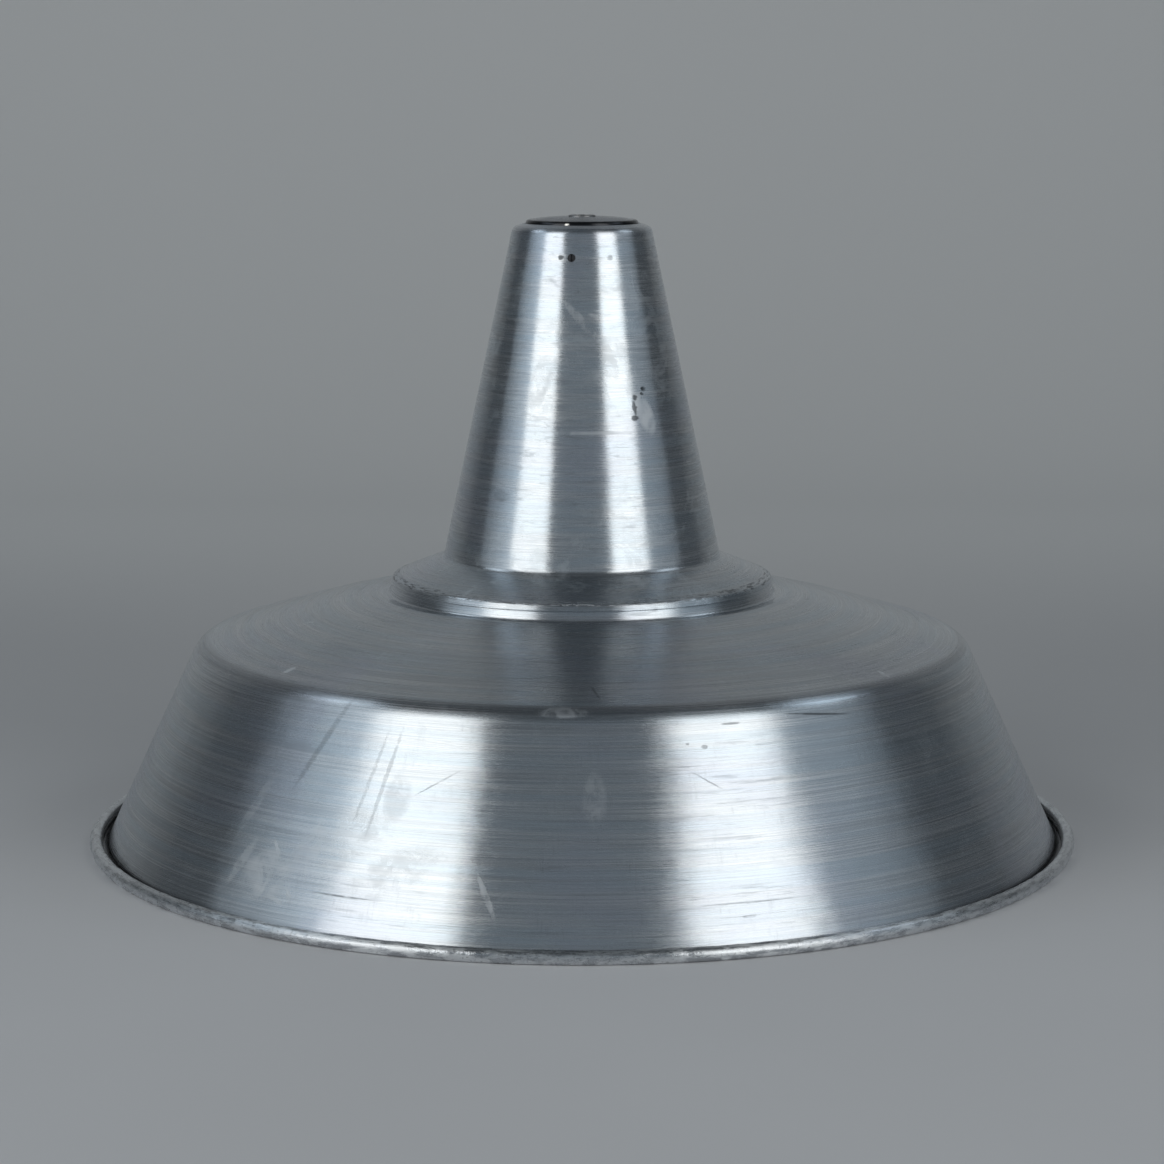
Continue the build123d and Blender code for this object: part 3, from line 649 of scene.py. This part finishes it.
def build_object():
    reflector_look = reflector_material()
    neck_look = neck_material()
    cap_look = cap_material()
    screw_look = plain_metal("screw_steel_look", (0.16, 0.15, 0.14), (0.32, 0.31, 0.30), 0.45)
    black_look = plain_metal("blackened_screw_look", (0.03, 0.03, 0.032), (0.09, 0.09, 0.095), 0.5)
    bush_look = plain_metal("bush_steel_look", (0.24, 0.24, 0.245), (0.38, 0.38, 0.385), 0.42)
    plated_look = plain_metal("plated_steel_look", (0.45, 0.43, 0.36), (0.60, 0.58, 0.52), 0.32)
    spring_look = plain_metal("spring_steel_look", (0.35, 0.35, 0.36), (0.55, 0.55, 0.56), 0.25)
    holder_look = plain_metal("holder_brass_look", (0.33, 0.24, 0.10), (0.58, 0.45, 0.22), 0.36, grain=500.0)
    brass_look = plain_metal("terminal_brass_look", (0.55, 0.40, 0.17), (0.74, 0.58, 0.28), 0.30)
    shell_look = plain_metal("shell_brass_look", (0.60, 0.45, 0.20), (0.78, 0.62, 0.32), 0.27)
    glazed_look = porcelain("glazed_porcelain_look", True)
    bare_look = porcelain("bare_porcelain_look", False)

    place_piece(reflector_mesh(), reflector_look, "reflector")
    neck = neck_mesh()
    drill_neck(neck)
    place_piece(neck, neck_look, "neck")

    box = [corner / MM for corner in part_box("contact_spring")]
    spring = coil("contact_spring_coil", 2.6, 0.5, box[0].z + 0.25, box[1].z - 0.25, 4)
    spring.data.materials.append(spring_look)
    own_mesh(spring)
    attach(spring, BODY)
    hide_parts("contact_spring")

    place_piece(screw_shell_mesh(), shell_look, "screw_shell")
    place_piece(nipple_mesh(), plated_look, "nipple")

    dress("top_cap", cap_look)
    dress("neck_set_screws", black_look)
    for node in ("terminal_screws", "earth_screw", "entry_grub_screw"):
        dress(node, screw_look)
    dress("entry_bush", bush_look)
    dress("tooth_washer", spring_look)
    dress("lock_nut", plated_look)
    dress("holder_cap", holder_look)
    for node in ("live_terminal", "neutral_terminal", "earth_terminal", "shell_rivets", "contact_plunger"):
        dress(node, brass_look)
    dress("holder_ring", glazed_look)
    dress("terminal_block", bare_look)


# ---------------------------------------------------------------- studio
def sweep():
    """Floor that curves up into a backdrop behind the object."""
    half_width, front, bend_start, bend_radius, height = 3.5, -6.0, 1.0, 0.9, 3.6
    line = [(front, 0.0)]
    steps = 24
    for step in range(steps + 1):
        angle = math.pi / 2 * step / steps
        line.append((bend_start + bend_radius * math.sin(angle), bend_radius * (1 - math.cos(angle))))
    line.append((bend_start + bend_radius, height))
    vertices = [(x, y, z) for y, z in line for x in (-half_width, half_width)]
    faces = [(2 * n, 2 * n + 1, 2 * n + 3, 2 * n + 2) for n in range(len(line) - 1)]
    floor = mesh_object("studio_sweep", vertices, faces)
    floor.data.materials.append(studio_grey("studio_grey"))


def softbox(name, azimuth, half_angle, low, high, radiance, tint):
    """Upright lamp that spans twice the half angle, seen from the axis; azimuth 0 is the front."""
    half_width = LAMP_DISTANCE * math.tan(math.radians(half_angle))
    a = math.radians(azimuth)
    place = (math.sin(a) * LAMP_DISTANCE, -math.cos(a) * LAMP_DISTANCE, (low + high) / 2)
    panel(name, place, (math.pi / 2, 0, a), (2 * half_width, high - low), radiance, tint)


def panel(name, place, turn_to, size, radiance, tint):
    """Rectangular lamp of even brightness."""
    lamp = bpy.data.lights.new(name, "AREA")
    lamp.shape = "RECTANGLE"
    lamp.size, lamp.size_y = size
    lamp.energy = radiance * math.pi * lamp.size * lamp.size_y
    lamp.color = tint
    holder = bpy.data.objects.new(name, lamp)
    holder.location = place
    holder.rotation_euler = turn_to
    bpy.context.scene.collection.objects.link(holder)


def overhead(name, side):
    """Small panel high at the side that puts a glint on the shoulder's bend."""
    place = Vector((side * 1.05, 0.10, 1.20))
    panel(name, place, place.to_track_quat("Z", "Y").to_euler(), (0.45, 0.45), 1.4, COOL)


def studio():
    """Two bright softboxes, a fan of dimmer ones beyond each, a front fill and two overhead panels."""
    sweep()
    softbox("softbox_left", -46, 16.2, LAMP_FOOT, LAMP_TOP, SOFTBOX_RADIANCE, WHITE)
    softbox("softbox_right", 41.5, 16, LAMP_FOOT, LAMP_TOP, SOFTBOX_RADIANCE, WHITE)
    for azimuth, radiance in WINGS_LEFT:
        softbox(f"wing_left_{-azimuth}", azimuth, WING_HALF_ANGLE, LAMP_FOOT, LAMP_TOP, radiance, COOL)
    for azimuth, radiance in WINGS_RIGHT:
        softbox(f"wing_right_{azimuth:.0f}", azimuth, WING_HALF_ANGLE, LAMP_FOOT, LAMP_TOP, radiance, COOL)
    softbox("front_fill", 0, 26, 0.35, 1.5, 0.23, COOL)
    overhead("overhead_left", -1)
    overhead("overhead_right", 1)
    world = bpy.data.worlds.new("studio")
    world.use_nodes = True
    background = world.node_tree.nodes["Background"]
    background.inputs["Color"].default_value = colour(0.81, 0.915, 1.0)
    background.inputs["Strength"].default_value = 0.10
    bpy.context.scene.world = world
    bpy.context.scene.view_settings.view_transform = "Standard"


def camera():
    """Eye 1.25 m in front of the axis and 0.305 m above the floor, tilted down by nine degrees."""
    lens = bpy.data.cameras.new("camera")
    lens.sensor_width = 36.0
    lens.lens = 96.46
    holder = bpy.data.objects.new("camera", lens)
    holder.location = (0.0, -1.25, 0.3046)
    holder.rotation_euler = (math.radians(90 - 9.14), 0, 0)
    bpy.context.scene.collection.objects.link(holder)
    bpy.context.scene.camera = holder


build_object()
studio()
camera()
